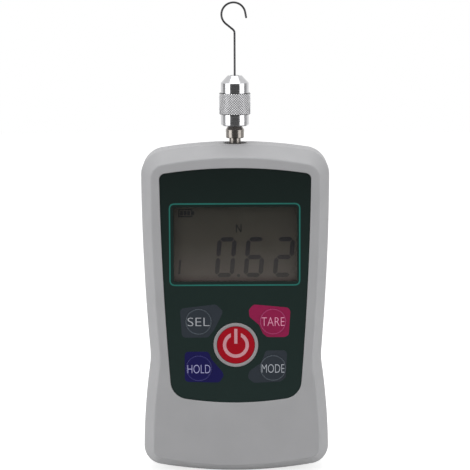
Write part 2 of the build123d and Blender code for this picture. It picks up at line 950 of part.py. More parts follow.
def jaw_plane(index):
    """Plane across one jaw at its tip; its normal points down and out along the jaw."""
    turn = radians(jaw_turn(index))
    outward = Vector(cos(turn), sin(turn), 0)
    up = Vector(0, 0, 1)
    return Plane(
        origin=outward * jaw_tip_offset + up * jaw_tip_z,
        x_dir=outward * cos(jaw_lean) + up * sin(jaw_lean),
        z_dir=outward * sin(jaw_lean) - up * cos(jaw_lean),
    )


def nut_bore_radius(height):
    """Radius of the nut's tapered bore, which clears the jaws at every position."""
    jaw_axis = jaw_tip_offset + (jaw_tip_z - height) * tan(jaw_lean)
    return jaw_axis + jaw_radius / cos(jaw_lean) + nut_jaw_clearance


with BuildPart() as chuck_body:
    with BuildSketch(Plane.XZ):
        with BuildLine():
            Polyline(
                (0, chuck_foot),
                (chuck_tail_radius, chuck_foot),
                (chuck_tail_radius, chuck_core_foot),
                (chuck_core_radius, chuck_core_foot),
                (chuck_core_radius, chuck_band_foot - chuck_pilot_height),
                (chuck_pilot_radius, chuck_band_foot - chuck_pilot_height),
                (chuck_pilot_radius, chuck_band_foot),
                (chuck_band_radius, chuck_band_foot),
                (chuck_band_radius, chuck_nose_foot),
                (chuck_nose_radius, chuck_nose),
                (0, chuck_nose),
                close=True,
            )
        make_face()
    revolve(axis=Axis.Z)
    fillet(chuck_body.edges().group_by(Axis.Z)[-1], chuck_nose_edge)
    with BuildSketch(Plane.XY.offset(chuck_foot)):
        Circle(stud_radius + thread_fit)
    extrude(amount=stud_bore_depth, mode=Mode.SUBTRACT)
    with BuildSketch(Plane.XY.offset(wire_foot - wire_bore_gap)):
        Circle(wire_bore_radius)
    extrude(amount=wire_grip + wire_bore_gap, mode=Mode.SUBTRACT)
    for index in range(jaw_count):
        with BuildSketch(jaw_plane(index).offset(-jaw_radius)):
            Circle(jaw_radius + jaw_bore_clearance)
        extrude(
            amount=jaw_radius + jaw_length + jaw_travel + jaw_bore_overrun,
            mode=Mode.SUBTRACT,
        )

with BuildPart() as chuck_base_ring:
    ring(chuck_tail_radius, chuck_band_radius, chuck_foot, chuck_base_height)
    foot_rims = chuck_base_ring.edges().group_by(Axis.Z)[0]
    chamfer(foot_rims.sort_by(SortBy.RADIUS)[-1], chuck_base_chamfer)
    ring(chuck_core_radius + thread_fit, chuck_pilot_radius, chuck_core_foot, chuck_pilot_height)

with BuildPart() as chuck_sleeve:
    sleeve_bore_radius = chuck_pilot_radius + chuck_running_fit
    ring(sleeve_bore_radius, sleeve_radius, sleeve_foot, sleeve_height)
    for end in (0, -1):
        rims = chuck_sleeve.edges().group_by(Axis.Z)[end]
        chamfer(rims.sort_by(SortBy.RADIUS)[-1], sleeve_end_chamfer)

with BuildPart() as chuck_nut:
    with BuildSketch(Plane.XZ):
        with BuildLine():
            Polyline(
                (nut_bore_radius(nut_foot), nut_foot),
                (sleeve_bore_radius, nut_foot),
                (sleeve_bore_radius, nut_foot + nut_height),
                (nut_bore_radius(nut_foot + nut_height), nut_foot + nut_height),
                close=True,
            )
        make_face()
    revolve(axis=Axis.Z)

for index in range(jaw_count):
    with BuildPart() as chuck_jaw:
        with BuildSketch(jaw_plane(index).offset(-jaw_radius)):
            Circle(jaw_radius)
        extrude(amount=jaw_radius + jaw_length)
        sector_half = radians(180 / jaw_count)
        sector_start = jaw_neighbour_gap / 2 / sin(sector_half)
        sector_reach = 2 * chuck_band_radius
        with BuildSketch(Plane.XY.offset(chuck_foot).rotated((0, 0, jaw_turn(index)))):
            with BuildLine():
                Polyline(
                    (sector_start, 0),
                    (sector_start + sector_reach, -sector_reach * tan(sector_half)),
                    (sector_start + sector_reach, sector_reach * tan(sector_half)),
                    close=True,
                )
            make_face()
        extrude(amount=jaw_tip_z - chuck_foot, mode=Mode.INTERSECT)
        with BuildSketch(Plane.XY.offset(chuck_foot)):
            Circle(wire_radius + jaw_wire_clearance)
        extrude(amount=chuck_nose - chuck_foot, mode=Mode.SUBTRACT)
    save(chuck_jaw, f"chuck_jaw_{index + 1}")

# ---- Hook ----
slant = radians(hook_slant)
bend_z = hook_loop_z - hook_loop_radius / sin(slant) - hook_loop_offset / tan(slant)
loop_start = (
    -hook_loop_offset - hook_loop_radius * cos(slant),
    hook_loop_z - hook_loop_radius * sin(slant),
)
loop_sweep = 180 + hook_slant - hook_tail_angle
with BuildPart() as hook:
    with BuildLine(Plane.XZ):
        FilletPolyline((0, wire_foot), (0, bend_z), loop_start, radius=hook_bend_radius)
        loop = CenterArc(
            (-hook_loop_offset, hook_loop_z), hook_loop_radius, 180 + hook_slant, -loop_sweep
        )
        tail = PolarLine(loop @ 1, hook_tail_length, direction=loop % 1)
    with BuildSketch(Plane.XY.offset(wire_foot)):
        Circle(wire_radius)
    sweep()
    with Locations(tail @ 1):
        Sphere(wire_radius)

# ---- Battery bay ----
battery_columns = [battery_pitch * (index - (cell_count - 1) / 2) for index in range(cell_count)]

with BuildPart() as battery_cells:
    for index, column in enumerate(battery_columns):
        nub_up = index % 2 == 0
        can_foot = battery_foot if nub_up else battery_foot + battery_nub_height
        with BuildSketch(Plane.XY.offset(can_foot)):
            with Locations((column, battery_y)):
                Circle(battery_radius)
        extrude(amount=battery_length - battery_nub_height)
        with BuildSketch(Plane.XY.offset(battery_foot)):
            with Locations((column, battery_y)):
                Circle(battery_nub_radius)
        extrude(amount=battery_length)

with BuildPart() as battery_springs:
    flat = contact_thickness / 2
    for column in battery_columns:
        with BuildSketch(Plane.YZ.offset(column - contact_width / 2)):
            with BuildLine():
                Polyline(
                    (battery_y - contact_half_foot, bay_floor + flat),
                    (battery_y + contact_half_foot, bay_floor + flat),
                    (battery_y + spring_half_top, battery_foot - flat),
                    (battery_y - spring_half_top, battery_foot - flat),
                    (battery_y - contact_half_foot, battery_foot - battery_spring_room / 2),
                )
            trace(line_width=contact_thickness)
        extrude(amount=contact_width)

with BuildPart() as battery_contacts:
    for column in battery_columns:
        with BuildSketch(Plane.YZ.offset(column - contact_width / 2)):
            with BuildLine():
                Polyline(
                    (battery_y - contact_half_foot, bay_top - flat),
                    (battery_y - contact_half_rise, bay_top - flat),
                    (battery_y - contact_half_top, battery_top + flat),
                    (battery_y + contact_half_top, battery_top + flat),
                    (battery_y + contact_half_rise, bay_top - flat),
                    (battery_y + contact_half_foot, bay_top - flat),
                )
            trace(line_width=contact_thickness)
        extrude(amount=contact_width)

with BuildPart() as battery_door:
    with BuildSketch(depth_plane(half_depth)) as door_plate:
        with Locations((0, (door_top + hinge_z) / 2)):
            Rectangle(2 * door_half, door_top - hinge_z)
        fillet(door_plate.vertices().group_by(Axis.Y)[-1], door_corner_radius)
    extrude(amount=door_thickness)
    cross_bar(door_barrel_radius, door_half)
    cross_bar(door_pin_radius, door_half + door_pin_length)
    with BuildSketch(depth_plane(half_depth)):
        with Locations((0, door_top - grip_rib_pitch * (grip_rib_count + 1) / 2)):
            with GridLocations(0, grip_rib_pitch, 1, grip_rib_count):
                SlotOverall(grip_width, grip_rib_width)
    extrude(amount=grip_rib_depth, mode=Mode.SUBTRACT)

# ---- Internal leads ----
lead_y = board_rear + socket_depth / 2
sensor_start_z = cell_foot + sensor_lead_rise
sensor_bend_x = -cell_width / 2 - lead_side_reach
with BuildPart() as sensor_lead:
    with BuildLine():
        FilletPolyline(
            (-cell_width / 2, 0, sensor_start_z),
            (sensor_bend_x, 0, sensor_start_z),
            (sensor_bend_x, lead_y, socket_z),
            (sensor_socket_x - socket_width / 2, lead_y, socket_z),
            radius=lead_bend_radius,
        )
    with BuildSketch(Plane.YZ.offset(-cell_width / 2)):
        with Locations((0, sensor_start_z)):
            Circle(lead_radius)
    sweep()

battery_lead_y = bay_front - bay_wall + 2 * lead_bend_radius
socket_top = socket_z + socket_height / 2
battery_bend_z = socket_top + battery_lead_rise
with BuildPart() as battery_lead:
    with BuildLine():
        FilletPolyline(
            (battery_socket_x, battery_lead_y, bay_top + bay_wall),
            (battery_socket_x, battery_lead_y, battery_bend_z),
            (battery_socket_x, lead_y, battery_bend_z),
            (battery_socket_x, lead_y, socket_top),
            radius=lead_bend_radius,
        )
    with BuildSketch(Plane.XY.offset(bay_top + bay_wall)):
        with Locations((battery_socket_x, battery_lead_y)):
            Circle(lead_radius)
    sweep()

for name, piece in {
    "front_case": front_case,
    "rear_case": rear_case,
    "case_screws": case_screws,
    "keypad_overlay": keypad_overlay,
    "lcd_window": lcd_window,
    "lcd_holder": lcd_holder,
    "lcd_panel": lcd_panel,
    "lcd_connectors": lcd_connectors,
    "main_board": main_board,
    "board_screws": board_screws,
    "controller_chip": controller_chip,
    "buzzer": buzzer,
    "board_sockets": board_sockets,
    "switch_bodies": switch_bodies,
    "load_cell": load_cell,
    "gauge_covers": gauge_covers,
    "cell_bracket": cell_bracket,
    "bracket_screws": bracket_screws,
    "stand_bushes": stand_bushes,
    "cell_screw": cell_screw,
    "shaft": shaft,
    "jam_nut": jam_nut,
    "lock_collar": lock_collar,
    "chuck_body": chuck_body,
    "chuck_base_ring": chuck_base_ring,
    "chuck_sleeve": chuck_sleeve,
    "chuck_nut": chuck_nut,
    "hook": hook,
    "battery_cells": battery_cells,
    "battery_springs": battery_springs,
    "battery_contacts": battery_contacts,
    "battery_door": battery_door,
    "sensor_lead": sensor_lead,
    "battery_lead": battery_lead,
}.items():
    save(piece, name)
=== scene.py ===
import json
import math

import bmesh
import bpy
from mathutils import Matrix, Vector
from mathutils.geometry import tessellate_polygon


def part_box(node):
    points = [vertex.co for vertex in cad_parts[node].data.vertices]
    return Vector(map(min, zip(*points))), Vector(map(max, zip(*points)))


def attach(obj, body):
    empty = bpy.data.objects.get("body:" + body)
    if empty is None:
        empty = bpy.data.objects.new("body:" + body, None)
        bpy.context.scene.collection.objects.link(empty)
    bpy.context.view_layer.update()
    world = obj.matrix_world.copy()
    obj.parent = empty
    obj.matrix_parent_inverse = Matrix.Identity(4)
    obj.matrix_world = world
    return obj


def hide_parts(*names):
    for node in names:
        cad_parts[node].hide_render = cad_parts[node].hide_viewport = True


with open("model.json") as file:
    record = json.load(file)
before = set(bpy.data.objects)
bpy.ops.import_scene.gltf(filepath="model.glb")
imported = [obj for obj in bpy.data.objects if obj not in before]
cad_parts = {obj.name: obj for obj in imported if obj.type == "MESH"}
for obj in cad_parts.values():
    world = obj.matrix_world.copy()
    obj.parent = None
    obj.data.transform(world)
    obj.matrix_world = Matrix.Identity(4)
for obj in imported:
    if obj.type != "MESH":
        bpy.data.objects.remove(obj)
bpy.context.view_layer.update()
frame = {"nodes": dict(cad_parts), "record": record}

MM = 0.001


# ---- Places on the part, in mm ----
def span(node, axis):
    """Lowest and highest place of a CAD node along an axis: 0 is X, 1 is Y and 2 is Z."""
    low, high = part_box(node)
    return low[axis] / MM, high[axis] / MM


OVERLAY_FRONT = span("keypad_overlay", 1)[0]
KEY_FRONT = span("power_key", 1)[0]
GLASS_FRONT = span("lcd_panel", 1)[0]
SLEEVE_FOOT, SLEEVE_TOP = span("chuck_sleeve", 2)
KEYPAD_Z = sum(span("power_key", 2)) / 2
KEY_X = 16.0
KEY_RISE = 10.2
KEY_RADIUS = 5.45
WELL_GAP = 0.2
PRINT = 0.03
SLEEVE_RADIUS = 6.95
SLEEVE_BORE = 5.35
SLEEVE_CHAMFER = 0.4
SLEEVE_KNURL = 0.24


# ---- Materials ----
# Noise stays mostly between these two values.
NOISE_LOW, NOISE_HIGH = 0.3, 0.7


def srgb(red, green, blue):
    """Linear colour of a 0 to 255 screen colour."""
    def linear(value):
        value /= 255
        return value / 12.92 if value <= 0.04045 else ((value + 0.055) / 1.055) ** 2.4
    return (linear(red), linear(green), linear(blue), 1.0)


class Surface:
    """A Principled material that is built up one pattern at a time in object space."""

    def __init__(self, name, **values):
        self.material = bpy.data.materials.new(name)
        self.material.use_nodes = True
        self.tree = self.material.node_tree
        self.shader = self.tree.nodes["Principled BSDF"]
        for socket, value in values.items():
            self.shader.inputs[socket.replace("_", " ")].default_value = value
        self.place = self.node("ShaderNodeTexCoord").outputs["Object"]

    def node(self, kind, **settings):
        made = self.tree.nodes.new(kind)
        for key, value in settings.items():
            setattr(made, key, value)
        return made

    def link(self, output, target):
        self.tree.links.new(output, target)

    def noise(self, scale, detail=3.0, stretch=(1, 1, 1)):
        """Noise of scale features per metre, stretched along the axes with a small factor."""
        mapping = self.node("ShaderNodeMapping")
        mapping.inputs["Scale"].default_value = [scale * share for share in stretch]
        self.link(self.place, mapping.inputs["Vector"])
        texture = self.node("ShaderNodeTexNoise")
        texture.inputs["Scale"].default_value = 1.0
        texture.inputs["Detail"].default_value = detail
        self.link(mapping.outputs["Vector"], texture.inputs["Vector"])
        return texture.outputs["Fac"]

    def height(self, low, high):
        """0 to 1 going up the part, between two heights in mm."""
        split = self.node("ShaderNodeSeparateXYZ")
        self.link(self.place, split.inputs["Vector"])
        spread = self.node("ShaderNodeMapRange")
        spread.inputs["From Min"].default_value = low * MM
        spread.inputs["From Max"].default_value = high * MM
        self.link(split.outputs["Z"], spread.inputs["Value"])
        return spread.outputs["Result"]

    def ramp(self, factor, stops):
        """Colours picked along a factor; stops are (position, colour)."""
        ramp = self.node("ShaderNodeValToRGB")
        elements = ramp.color_ramp.elements
        while len(elements) < len(stops):
            elements.new(0.5)
        for element, (position, color) in zip(elements, stops):
            element.position = position
            element.color = color
        self.link(factor, ramp.inputs["Fac"])
        return ramp.outputs["Color"]

    def multiply(self, first, second):
        mix = self.node("ShaderNodeMix", data_type="RGBA", blend_type="MULTIPLY")
        mix.inputs["Factor"].default_value = 1.0
        self.link(first, mix.inputs["A"])
        self.link(second, mix.inputs["B"])
        return mix.outputs["Result"]

    def color(self, output):
        self.link(output, self.shader.inputs["Base Color"])
        return self

    def mottled(self, color, spread, scale):
        """A base colour that drifts lighter and darker by a share."""
        low = [c * (1 - spread) for c in color[:3]] + [1.0]
        high = [c * (1 + spread) for c in color[:3]] + [1.0]
        return self.color(self.ramp(self.noise(scale, 4.0), [(NOISE_LOW, low), (NOISE_HIGH, high)]))

    def clouded(self, output, share, scale, detail=3.0):
        """A base colour from a pattern, with clouds that darken it down to a share."""
        stops = [(NOISE_LOW, (share, share, share, 1)), (NOISE_HIGH, (1, 1, 1, 1))]
        return self.color(self.multiply(output, self.ramp(self.noise(scale, detail), stops)))

    def roughness(self, low, high, scale, stretch=(1, 1, 1)):
        spread = self.node("ShaderNodeMapRange")
        spread.inputs["From Min"].default_value = NOISE_LOW
        spread.inputs["From Max"].default_value = NOISE_HIGH
        spread.inputs["To Min"].default_value = low
        spread.inputs["To Max"].default_value = high
        self.link(self.noise(scale, stretch=stretch), spread.inputs["Value"])
        self.link(spread.outputs["Result"], self.shader.inputs["Roughness"])
        return self

    def bump(self, scale, depth, stretch=(1, 1, 1)):
        """Relief of a depth in metres."""
        bump = self.node("ShaderNodeBump")
        bump.inputs["Distance"].default_value = depth
        self.link(self.noise(scale, 2.0, stretch), bump.inputs["Height"])
        self.link(bump.outputs["Normal"], self.shader.inputs["Normal"])
        return self


def moulded(name, color, rough=0.5, grain=5000):
    """Moulded plastic with a fine spark-eroded grain."""
    surface = Surface(name)
    surface.mottled(color, 0.03, 60)
    surface.roughness(rough - 0.04, rough + 0.05, 400)
    surface.bump(grain, 0.00002)
    return surface.material


def film(name, color, rough=0.34, gloss=0.3):
    """Printed polyester film with a faint satin ripple."""
    surface = Surface(name, Specular_IOR_Level=gloss)
    surface.mottled(color, 0.06, 90)
    surface.roughness(rough - 0.05, rough + 0.06, 900)
    surface.bump(9000, 0.000004)
    return surface.material


def panel_film():
    """The keypad's dark film, a little darker towards its top."""
    surface = Surface("panel_film", Specular_IOR_Level=0.3)
    fade = surface.ramp(
        surface.height(32.0, 134.0),
        [(0.0, srgb(24, 43, 40)), (0.6, srgb(19, 39, 35)), (1.0, srgb(10, 26, 23))],
    )
    surface.clouded(fade, 0.93, 90)
    surface.roughness(0.33, 0.44, 900)
    surface.bump(9000, 0.000004)
    return surface.material


def turned(name, color, rough=0.2):
    """Metal turned on a lathe about the pull axis: fine rings along Z."""
    surface = Surface(name, Metallic=1.0)
    surface.mottled(color, 0.05, 500)
    surface.roughness(rough - 0.04, rough + 0.06, 3000, stretch=(0.02, 0.02, 1))
    surface.bump(9000, 0.000006, stretch=(0.01, 0.01, 1))
    return surface.material


def knurled(name, color):
    """Plated metal with painted shade: dark at the bottom of the knurl's grooves."""
    surface = Surface(name, Metallic=1.0)
    flat = surface.node("ShaderNodeVectorMath", operation="MULTIPLY")
    flat.inputs[1].default_value = (1, 1, 0)
    surface.link(surface.place, flat.inputs[0])
    reach = surface.node("ShaderNodeVectorMath", operation="LENGTH")
    surface.link(flat.outputs["Vector"], reach.inputs[0])
    rise = surface.node("ShaderNodeMapRange")
    rise.inputs["From Min"].default_value = (SLEEVE_RADIUS - SLEEVE_KNURL) * MM
    rise.inputs["From Max"].default_value = SLEEVE_RADIUS * MM
    surface.link(reach.outputs["Value"], rise.inputs["Value"])
    # Painted shade: the colour falls to near black at the bottom of the grooves and stays full on the
    # crests.
    groove_shade = [c * 0.06 for c in color[:3]] + [1.0]
    depth = surface.ramp(rise.outputs["Result"], [(0.08, groove_shade), (0.36, color), (1.0, color)])
    surface.clouded(depth, 0.92, 500)
    surface.roughness(0.16, 0.26, 3000)
    surface.bump(9000, 0.000004)
    return surface.material


def brushed(name, color, rough=0.35, along="X"):
    """Rolled or ground sheet metal with lines along one axis."""
    stretch = {"X": (0.03, 1, 1), "Z": (1, 1, 0.03)}[along]
    surface = Surface(name, Metallic=1.0)
    surface.mottled(color, 0.06, 250)
    surface.roughness(rough - 0.06, rough + 0.08, 1500, stretch=stretch)
    surface.bump(6000, 0.000006, stretch=stretch)
    return surface.material


def display_glass():
    """Unlit liquid crystal glass: murky brown, lighter towards its foot, with cloudy drift. The lift
    at the foot is partly painted light against the shade that the recess casts there.
    """
    surface = Surface("display_glass", Specular_IOR_Level=0.25)
    # Lighter at the foot, partly as painted light that offsets the shade the recess casts there.
    fade = surface.ramp(
        surface.height(85.5, 117.75),
        [
            (0.0, srgb(128, 114, 110)),
            (0.08, srgb(134, 126, 118)),
            (0.25, srgb(117, 110, 103)),
            (0.5, srgb(94, 88, 79)),
            (1.0, srgb(72, 69, 60)),
        ],
    )
    surface.clouded(fade, 0.9, 80, detail=2.0)
    surface.roughness(0.3, 0.4, 500)
    surface.bump(4000, 0.000002)
    return surface.material


def display_ink():
    """Driven liquid crystal: dark, and weaker towards the foot."""
    surface = Surface("display_ink", Specular_IOR_Level=0.2)
    fade = surface.ramp(
        surface.height(87.0, 106.0),
        [
            (0.0, srgb(102, 97, 95)),
            (0.3, srgb(86, 82, 82)),
            (0.62, srgb(62, 58, 62)),
            (1.0, srgb(30, 28, 36)),
        ],
    )
    surface.clouded(fade, 0.9, 300, detail=2.0)
    surface.roughness(0.3, 0.4, 500)
    surface.bump(4000, 0.000002)
    return surface.material


def display_window():
    """Clear hard-coated window with faint smears."""
    surface = Surface("display_window", Alpha=0.2, IOR=1.49)
    surface.mottled(srgb(40, 42, 40), 0.1, 120)
    surface.roughness(0.04, 0.16, 140)
    surface.bump(2500, 0.000001)
    return surface.material


MATERIALS = {
    "case_shell": moulded("case_shell", srgb(173, 173, 175), rough=0.52),
    "panel_film": panel_film(),
    "key_slate": film("key_slate", srgb(46, 53, 61)),
    "key_magenta": film("key_magenta", srgb(146, 16, 72)),
    "key_navy": film("key_navy", srgb(18, 14, 82), gloss=0.25),
    "key_red": film("key_red", srgb(166, 5, 27), gloss=0.15),
    "display_window": display_window(),
    "display_glass": display_glass(),
    "holder_plastic": moulded("holder_plastic", srgb(22, 22, 22)),
    "connector_rubber": moulded("connector_rubber", srgb(120, 120, 130), rough=0.7),
    "circuit_board": film("circuit_board", srgb(18, 92, 52)),
    "chip_plastic": moulded("chip_plastic", srgb(28, 28, 30), rough=0.6, grain=9000),
    "socket_plastic": moulded("socket_plastic", srgb(226, 222, 205)),
    "switch_plastic": moulded("switch_plastic", srgb(34, 34, 36)),
    "plunger_plastic": moulded("plunger_plastic", srgb(70, 70, 74)),
    "screw_steel": turned("screw_steel", srgb(170, 170, 172), rough=0.3),
    "bracket_steel": brushed("bracket_steel", srgb(180, 181, 182)),
    "cell_aluminium": brushed("cell_aluminium", srgb(205, 207, 208), rough=0.4, along="Z"),
    "cover_rubber": moulded("cover_rubber", srgb(218, 218, 214), rough=0.75),
    "bush_brass": turned("bush_brass", srgb(172, 146, 98), rough=0.28),
    "shaft_steel": turned("shaft_steel", srgb(140, 135, 130), rough=0.2),
    "chuck_steel": turned("chuck_steel", srgb(196, 196, 198), rough=0.14),
    "sleeve_steel": knurled("sleeve_steel", srgb(246, 246, 248)),
    "nut_steel": turned("nut_steel", srgb(140, 140, 142), rough=0.3),
    "jaw_steel": brushed("jaw_steel", srgb(150, 150, 152), rough=0.3, along="Z"),
    "hook_wire": turned("hook_wire", srgb(84, 84, 86), rough=0.25),
    "battery_jacket": moulded("battery_jacket", srgb(70, 96, 130), rough=0.35),
    "contact_metal": brushed("contact_metal", srgb(200, 200, 196), rough=0.25),
    "lead_sleeve": moulded("lead_sleeve", srgb(40, 40, 42), rough=0.6),
}
for part in frame["record"]["subparts"]:
    node = frame["nodes"][part["node"]]
    for place in node.material_slots:
        place.material = MATERIALS[part["material_slot"]]

LINE_GREEN = film("line_green", srgb(34, 112, 102))
LABEL_PALE = film("label_pale", srgb(180, 182, 188))
LABEL_PINK = film("label_pink", srgb(236, 160, 190))
LABEL_LILAC = film("label_lilac", srgb(184, 182, 226))
LABEL_GREY = film("label_grey", srgb(190, 194, 202))
RING_GREY = film("ring_grey", srgb(156, 153, 155))
# Rim colours lighter than the keys they ring: painted highlight on each key's dome.
RIM_SLATE_HIGHLIGHT = film("rim_slate_highlight", srgb(78, 86, 94), rough=0.25)
RIM_MAGENTA_HIGHLIGHT = film("rim_magenta_highlight", srgb(172, 58, 108), rough=0.25)
RIM_NAVY_HIGHLIGHT = film("rim_navy_highlight", srgb(52, 50, 112), rough=0.25)
RING_SHADE = film("ring_shade", srgb(120, 20, 34))
SYMBOL_PINK = film("symbol_pink", srgb(208, 152, 160))
DISPLAY_INK = display_ink()


# ---- Building pieces ----
def add_piece(name, mesh, material, body):
    """A finished mesh as a piece of the object."""
    piece = bpy.data.objects.new(name, mesh)
    bpy.context.scene.collection.objects.link(piece)
    mesh.materials.clear()
    mesh.materials.append(material)
    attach(piece, body)
    return piece


def plates(shapes, front, thickness):
    """Mesh of flat plates that face the front. A shape is a list of loops of (x, z) in mm:
    the outline, then any holes."""
    mesh = bmesh.new()
    for loops in shapes:
        points = [point for loop in loops for point in loop]
        layers = [
            [mesh.verts.new((x * MM, y * MM, z * MM)) for x, z in points]
            for y in (front, front + thickness)
        ]
        flat = [[Vector((x, z, 0)) for x, z in loop] for loop in loops]
        for triangle in tessellate_polygon(flat):
            for layer in layers:
                mesh.faces.new([layer[index] for index in triangle])
        start = 0
        for loop in loops:
            for index in range(len(loop)):
                a = start + index
                b = start + (index + 1) % len(loop)
                mesh.faces.new([layers[0][a], layers[0][b], layers[1][b], layers[1][a]])
            start += len(loop)
    bmesh.ops.recalc_face_normals(mesh, faces=mesh.faces)
    made = bpy.data.meshes.new("plates")
    mesh.to_mesh(made)
    mesh.free()
    return made


def turned_ring(middle, section, count=96):
    """Mesh of a closed section, (radius, y) in mm, turned about a line that runs along Y."""
    mesh = bmesh.new()
    rings = []
    for step in range(count):
        turn = 2 * math.pi * step / count
        rings.append([
            mesh.verts.new(
                (
                    (middle[0] + radius * math.cos(turn)) * MM,
                    y * MM,
                    (middle[1] + radius * math.sin(turn)) * MM,
                )
            )
            for radius, y in section
        ])
    for step in range(count):
        near, far = rings[step], rings[(step + 1) % count]
        for index in range(len(section)):
            ahead = (index + 1) % len(section)
            mesh.faces.new([near[index], near[ahead], far[ahead], far[index]])
    bmesh.ops.recalc_face_normals(mesh, faces=mesh.faces)
    for face in mesh.faces:
        face.smooth = True
    made = bpy.data.meshes.new("turned_ring")
    mesh.to_mesh(made)
    mesh.free()
    return made


def circle(x, z, radius, count=96, start=0.0, end=360.0):
    """Points on a circle, or on an arc of it with both ends."""
    whole = end - start >= 360
    steps = count if whole else count - 1
    angles = [math.radians(start + (end - start) * i / steps) for i in range(count)]
    return [(x + radius * math.cos(a), z + radius * math.sin(a)) for a in angles]


CORNER_STEPS = 8
SIDE_SHARE = 0.48


def rounded(points, radius):
    """Outline with its corners rounded, each by at most a share of its shorter side."""
    made = []
    for index, point in enumerate(points):
        corner = Vector(point)
        back = Vector(points[index - 1]) - corner
        ahead = Vector(points[(index + 1) % len(points)]) - corner
        half = back.angle(ahead) / 2
        reach = min(radius / math.tan(half), SIDE_SHARE * back.length, SIDE_SHARE * ahead.length)
        first = corner + back.normalized() * reach
        last = corner + ahead.normalized() * reach
        for step in range(CORNER_STEPS + 1):
            share = step / CORNER_STEPS
            made.append((1 - share) ** 2 * first + 2 * share * (1 - share) * corner + share**2 * last)
    return [tuple(point) for point in made]


def rectangle(left, foot, right, top, radius):
    return rounded([(left, foot), (right, foot), (right, top), (left, top)], radius)


LETTER_THINNING = 0.016
LETTER_STEPS = 6


def lettering(name, text, middle, width, height, front, material, body):
    """Generic lettering, fitted to a box in mm, as a thin print that faces the front."""
    curve = bpy.data.curves.new(name, "FONT")
    curve.body = text
    curve.extrude = 0.5
    curve.offset = -LETTER_THINNING
    curve.resolution_u = LETTER_STEPS
    source = bpy.data.objects.new(name + "_source", curve)
    mesh = bpy.data.meshes.new_from_object(source)
    bpy.data.objects.remove(source)
    bpy.data.curves.remove(curve)
    xs = [vertex.co.x for vertex in mesh.vertices]
    ys = [vertex.co.y for vertex in mesh.vertices]
    scale_x = width / (max(xs) - min(xs))
    scale_y = height / (max(ys) - min(ys))
    for vertex in mesh.vertices:
        x = middle[0] + (vertex.co.x - (max(xs) + min(xs)) / 2) * scale_x
        z = middle[1] + (vertex.co.y - (max(ys) + min(ys)) / 2) * scale_y
        y = front - vertex.co.z * PRINT
        vertex.co = (x * MM, y * MM, z * MM)
    return add_piece(name, mesh, material, body)


# ---- Printed panel ----
LINE_LEFT, LINE_FOOT, LINE_RIGHT, LINE_TOP = -28.4, 83.65, 27.8, 119.45
LINE_WIDTH = 0.6
LINE_CORNER = 2.6
LINE_INNER_CORNER = 1.9
line_shape = [
    rectangle(LINE_LEFT, LINE_FOOT, LINE_RIGHT, LINE_TOP, LINE_CORNER),
    rectangle(
        LINE_LEFT + LINE_WIDTH,
        LINE_FOOT + LINE_WIDTH,
        LINE_RIGHT - LINE_WIDTH,
        LINE_TOP - LINE_WIDTH,
        LINE_INNER_CORNER,
    ),
]
add_piece(
    "panel_line",
    plates([line_shape], OVERLAY_FRONT - PRINT, PRINT),
    LINE_GREEN,
    "case",
)

# The field printed round each corner key: slot, rim material (lighter than the key, a painted
# highlight), middle of the key and the field's corners.
FIELDS = {
    "select": (
        "key_slate",
        RIM_SLATE_HIGHLIGHT,
        (-KEY_X, KEYPAD_Z + KEY_RISE),
        [(-24.0, 73.8), (-8.5, 75.6), (-5.3, 72.5), (-9.4, 64.2), (-12.0, 61.1), (-23.2, 61.1)],
    ),
    "tare": (
        "key_magenta",
        RIM_MAGENTA_HIGHLIGHT,
        (KEY_X, KEYPAD_Z + KEY_RISE),
        [
            (5.6, 73.2), (7.7, 75.5), (22.5, 74.1), (23.5, 72.6), (22.8, 62.2),
            (21.2, 61.2), (13.6, 61.2), (11.7, 62.7), (10.0, 66.6), (5.9, 70.1),
        ],
    ),
    "hold": (
        "key_navy",
        RIM_NAVY_HIGHLIGHT,
        (-KEY_X, KEYPAD_Z - KEY_RISE),
        [
            (-22.1, 54.9), (-11.8, 54.9), (-10.5, 51.5), (-6.0, 46.2), (-5.2, 44.4),
            (-7.2, 41.3), (-22.1, 41.7),
        ],
    ),
    "mode": (
        "key_slate",
        RIM_SLATE_HIGHLIGHT,
        (KEY_X, KEYPAD_Z - KEY_RISE),
        [
            (12.8, 55.3), (22.1, 55.4), (21.5, 43.5), (19.3, 41.6), (7.8, 41.1),
            (5.0, 43.2), (5.8, 46.3), (10.6, 49.7), (12.1, 53.0),
        ],
    ),
}
FIELD_CORNER = 2.0
RIM_RADIUS = 5.4
RIM_WIDTH = 0.4
RIM_RISE = 0.12
RIM_ROOT = 0.3
RIM_STEPS = 8
for name, (slot, rim_highlight, middle, corners) in FIELDS.items():
    field = [rounded(corners, FIELD_CORNER), circle(*middle, KEY_RADIUS + WELL_GAP)]
    add_piece(
        name + "_field",
        plates([field], OVERLAY_FRONT - PRINT, PRINT),
        MATERIALS[slot],
        "case",
    )
    # A domed ring round the key in the lighter rim colour: painted highlight on the dome's edge.
    dome = [
        (RIM_RADIUS - RIM_WIDTH / 2 * math.cos(angle), KEY_FRONT - RIM_RISE * math.sin(angle))
        for angle in [math.pi * step / RIM_STEPS for step in range(RIM_STEPS + 1)]
    ]
    dome += [
        (RIM_RADIUS + RIM_WIDTH / 2, KEY_FRONT + RIM_ROOT),
        (RIM_RADIUS - RIM_WIDTH / 2, KEY_FRONT + RIM_ROOT),
    ]
    add_piece(name + "_rim", turned_ring(middle, dome), rim_highlight, name + "_key")


# ---- Key labels ----
# Each label: text, width, how far it sits above the middle of its key, material and slot.
LABEL_HEIGHT = 3.7
LABELS = {
    "select": ("SEL", 9.4, 0.0, LABEL_PALE, "key_slate"),
    "tare": ("TARE", 9.9, 0.0, LABEL_PINK, "key_magenta"),
    "hold": ("HOLD", 9.8, -0.3, LABEL_LILAC, "key_navy"),
    "mode": ("MODE", 9.8, -0.2, LABEL_GREY, "key_slate"),
}
for name, (text, width, lift, material, slot) in LABELS.items():
    x, z = FIELDS[name][2]
    lettering(
        name + "_label",
        text,
        (x, z + lift),
        width,
        LABEL_HEIGHT,
        KEY_FRONT,
        material,
        name + "_key",
    )


